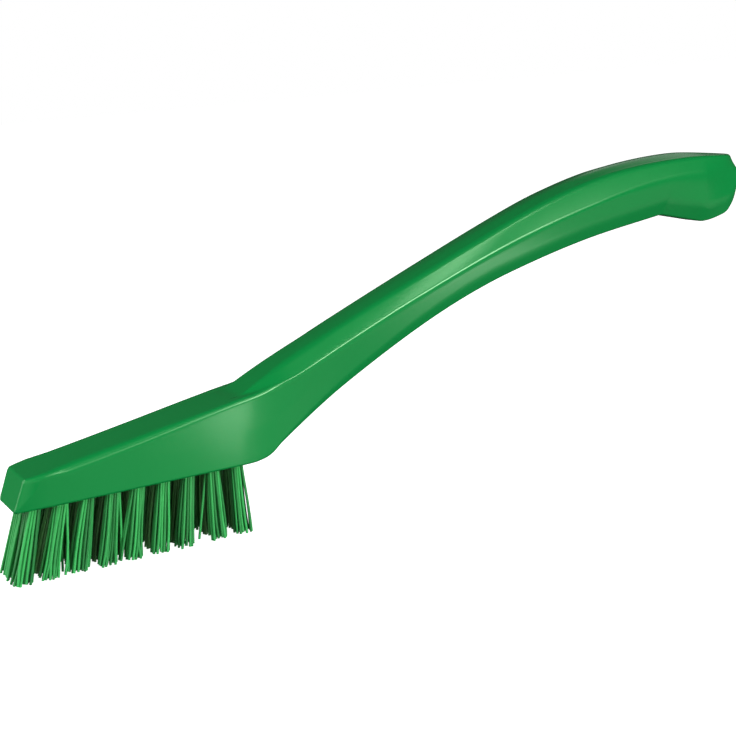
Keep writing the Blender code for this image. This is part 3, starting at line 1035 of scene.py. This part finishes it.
print("faces in a filament:", len(thread_faces), "points:", len(thread_points))

# %% [markdown]
# ## The tufts
# A tuft is a bundle folded over its anchor, packed tight in the hole and free below it. Threads pressed into a round
# hole lie like pipes in a stack, every other row shifted by half a thread, so their places come from that pattern.
# A real tuft holds more and thinner threads, but these keep the mesh light.

# %% Pack the filaments into a hole
FILAMENT_RADIUS = 0.31
PACK_PITCH = 0.53
PACK_RADIUS = 1.37
PACK_ROW = 0.866
PACK_SHIFT = 0.25


def packed_places():
    """Places of the filaments in a hole, on a close-packed pattern."""
    found = []
    rows = int(PACK_RADIUS / (PACK_PITCH * PACK_ROW)) + 1
    for j in range(-rows, rows + 1):
        for i in range(-rows - 1, rows + 2):
            x = (i + 0.5 * (j % 2) + PACK_SHIFT) * PACK_PITCH
            y = j * PACK_PITCH * PACK_ROW
            if math.hypot(x, y) <= PACK_RADIUS:
                found.append((x, y))
    return found


pack = packed_places()
print("filaments in a tuft:", len(pack))

# %% [markdown]
# ## The root of a tuft
# Up in the hole the threads are squeezed into one solid-looking plug, folded over the steel strip. Bending every
# thread round the strip would cost many faces, so the root is a short cylinder with a slot in it, cut with the same
# bar as the slot in the hole.

# %% Press the root
PLUG_SIDES = 16
PLUG_RADIUS = 1.4
PLUG_TOP = 4.3
PLUG_FOOT = 1.2

bpy.ops.object.select_all(action="DESELECT")
bpy.ops.mesh.primitive_cylinder_add(
    vertices=PLUG_SIDES, radius=PLUG_RADIUS * MM, depth=(PLUG_TOP - PLUG_FOOT) * MM,
    location=(0.0, 0.0, -(PLUG_TOP + PLUG_FOOT) / 2 * MM)
)
plug = bpy.context.object
bpy.ops.object.transform_apply(location=True, rotation=False, scale=False)
combine(plug, slot, "DIFFERENCE")
plug_points = [vert.co.copy() for vert in plug.data.vertices]
plug_faces = [tuple(face.vertices) for face in plug.data.polygons]
bpy.data.objects.remove(plug)
bpy.data.objects.remove(slot)
print("faces in the packed root:", len(plug_faces))

# %% [markdown]
# ## Painted shade inside the bristles
# Between the tufts of a real brush the green is darker and duller, because light only comes in from the sides and the
# tips. The render finds most of that by itself, and painted shade stored on the points adds to it: how deep each place
# lies in the box that holds all the tufts, which is the same from whatever side one looks. Places are counted back
# along the lean of their thread, so a leaning thread keeps its colour on the way down.

# %% Say how much shade is painted on a place
FIELD_HALF = ROW_PITCH + HOLE_RADIUS
FIELD_START = FIRST_COLUMN - HOLE_RADIUS
FIELD_STOP = FIRST_COLUMN + COLUMN_PITCH * (COLUMNS - 1) + HOLE_RADIUS
LIT_DEPTH = 1.5
DARK_DEPTH = 3.8


def painted_shade_at(place, column_shift):
    """How much shade is painted on a place among the bristles, from 0 on the outside to 1 inside, as little light
    reaches it.
    """
    along = (place.x - column_shift - nose_x) / MM
    inside = min(FIELD_HALF - abs(place.y) / MM, along - FIELD_START, FIELD_STOP - along)
    return ease((inside - LIT_DEPTH) / (DARK_DEPTH - LIT_DEPTH))


print("bristles stand from", FIELD_START, "to", round(FIELD_STOP, 2), "mm and", FIELD_HALF, "mm to each side")

# %% [markdown]
# ## The line of one thread
# Below the hole the threads spread a little, gather in a few loose clumps, and are trimmed level, give or take. So
# each thread gets a place at the mouth, a place to aim at and a cut at its own height. What varies is drawn from one
# seeded list of chances, always in the same order, so the brush comes out the same each time.

# %% Aim a thread
SEED = 41
ROOT_DEPTH = 1.5
PLACE_SCATTER = 0.03
SPREAD = 1.74
SPREAD_SCATTER = (-0.06, 0.10)
AIM_SCATTER = (0.14, 0.12)
CLUMP_PULL = 0.22
LONGER = -0.35
SHORTER = 0.5
chance = random.Random(SEED)


def aim_thread(tuft_place, x, y, clumps, lean_more, stray):
    """Where one thread starts in the hole, leaves it, and is cut off."""
    x += chance.uniform(-PLACE_SCATTER, PLACE_SCATTER)
    y += chance.uniform(-PLACE_SCATTER, PLACE_SCATTER)
    wide = SPREAD + chance.uniform(*SPREAD_SCATTER)
    clump = min(clumps, key=lambda centre: math.hypot(centre.x - x, centre.y - y))
    aim_x = x * wide + CLUMP_PULL * (clump.x - x) + chance.gauss(0, AIM_SCATTER[0]) + lean_more
    aim_y = y * wide + CLUMP_PULL * (clump.y - y) + chance.gauss(0, AIM_SCATTER[1])
    top = tuft_place @ (Vector((x, y, -ROOT_DEPTH)) * MM)
    mouth = tuft_place @ (Vector((x, y, 0.0)) * MM)
    low = tuft_place @ (Vector((aim_x + stray, aim_y, BRISTLES)) * MM)
    level = max(0.0, chance.uniform(LONGER, SHORTER)) * MM
    return top, mouth, mouth.lerp(low, (mouth.z - level) / (mouth.z - low.z))


print("a thread at the rim goes from", PACK_RADIUS, "to", round(PACK_RADIUS * SPREAD, 2), "mm from the middle")

# %% [markdown]
# ## The bend of one thread
# A thread is stiff where the hole holds it and bends more towards its tip, by a little and to a side of its own. The
# thread that was modelled once is laid along its line ring by ring, pushed sideways by the bow, and turned about its
# own length so that no two show the same flats.

# %% Bend a thread
BEND = 0.36
BEND_ACROSS = 0.6
HELD_SHARE = 0.1
FLOOR_GAP = 0.00002


def bent_thread(top, mouth, tip, bow, spin):
    """Points of one thread from its top to its tip, and the shade painted on each of them."""
    axis = (tip - top).normalized()
    across = axis.orthogonal().normalized()
    other = axis.cross(across)
    points, painted_shade_values = [], []
    for point in thread_points:
        t = point.z
        free = t > HELD_SHARE
        middle = top.lerp(tip, min(t, 1.0)) + bow * (4 * t * (1 - t)) * (t if free else 0.0)
        angle = math.atan2(point.y, point.x) + spin
        reach = math.hypot(point.x, point.y) * FILAMENT_RADIUS * MM
        place = middle + (across * math.cos(angle) + other * math.sin(angle)) * reach
        place.z = max(place.z, FLOOR_GAP)
        points.append(place)
        # painted shade by depth among the bristles; the points of the tip get none
        painted_shade_values.append(0.0 if t > 1.0 else painted_shade_at(place, (middle.x - mouth.x) if free else 0.0))
    return points, painted_shade_values


print("rings to bend in a thread:", FILAMENT_LENGTHS + 1, "held up to", HELD_SHARE, "of its length")

# %% [markdown]
# ## Growing the tufts
# The photo shows a few tufts that lean, and a few threads that stray across the gap to the next tuft, so these are
# named by tuft. All threads of a tuft go into one mesh with its root, and the tone and the painted shade of each point
# are stored on the points for the finish to read.

# %% Grow the tufts
PLUG_TONE = 0.5
CLUMPS = 3
CLUMP_ROOM = (1.2, 1.0)
TIP_ANGLE = 65.0
LEANERS = {"b3": 0.9, "c3": 0.9, "b6": 0.5, "c6": 0.7, "c2": -0.5, "c8": -0.6, "b5": -0.4}
STRAYS = {"a2": (1.7, 1.5, 1.9), "a8": (-2.4,), "a5": (-1.2, -0.9), "a4": (0.9,)}


def grow_tuft(label, tuft_place):
    """One tuft: its root and all its filaments in one mesh."""
    points = [tuft_place @ point for point in plug_points]
    faces = list(plug_faces)
    # the root up in its hole gets the full painted shade
    tones, painted_shade_values = [PLUG_TONE] * len(points), [1.0] * len(points)
    strays = list(STRAYS.get(label, ()))
    long_room, cross_room = CLUMP_ROOM
    clumps = [
        Vector((chance.uniform(-long_room, long_room), chance.uniform(-cross_room, cross_room))) for _ in range(CLUMPS)
    ]
    by_side = sorted(pack, key=lambda spot: spot[0] if not strays or strays[0] < 0 else -spot[0])
    for x, y in by_side:
        stray = strays.pop() if strays else 0.0
        top, mouth, tip = aim_thread(tuft_place, x, y, clumps, LEANERS.get(label, 0.0), stray)
        bow = Vector((chance.gauss(0, BEND), chance.gauss(0, BEND * BEND_ACROSS), 0.0)) * MM
        spin = chance.uniform(0, math.pi)
        tone = chance.random()
        faces += [tuple(len(points) + i for i in face) for face in thread_faces]
        fresh_points, fresh_painted_shade = bent_thread(top, mouth, tip, bow, spin)
        points += fresh_points
        painted_shade_values += fresh_painted_shade
        tones += [tone] * len(fresh_points)
    name = "bristles_" + label
    mesh = bpy.data.meshes.new(name)
    mesh.from_pydata(points, [], faces)
    mesh.update()
    mesh.attributes.new("tone", "FLOAT", "POINT").data.foreach_set("value", tones)
    mesh.attributes.new("painted_shade", "FLOAT", "POINT").data.foreach_set("value", painted_shade_values)
    made = bpy.data.objects.new(name, mesh)
    bpy.context.collection.objects.link(made)
    only(made)
    bpy.ops.object.shade_smooth_by_angle(angle=math.radians(TIP_ANGLE))
    made.data.materials.append(filament)
    return made


for label, tuft_place in tuft_places.items():
    tuft = grow_tuft(label, tuft_place)
    finish_piece(tuft, "bristles_" + label, "filament", "tuft_" + label)
bpy.data.objects.remove(thread)
print("tufts grown:", len(tuft_places), "filaments:", len(tuft_places) * len(pack))

# %% [markdown]
# ## The anchors
# The anchors are short lengths of steel strip pressed across the holes. They keep their CAD shape and only get the
# steel finish.

# %% Dress the anchors
anchors = [node for name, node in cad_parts.items() if name.startswith("anchor_")]
for anchor in anchors:
    anchor.data.materials.clear()
    anchor.data.materials.append(steel)
print("anchors dressed:", len(anchors))
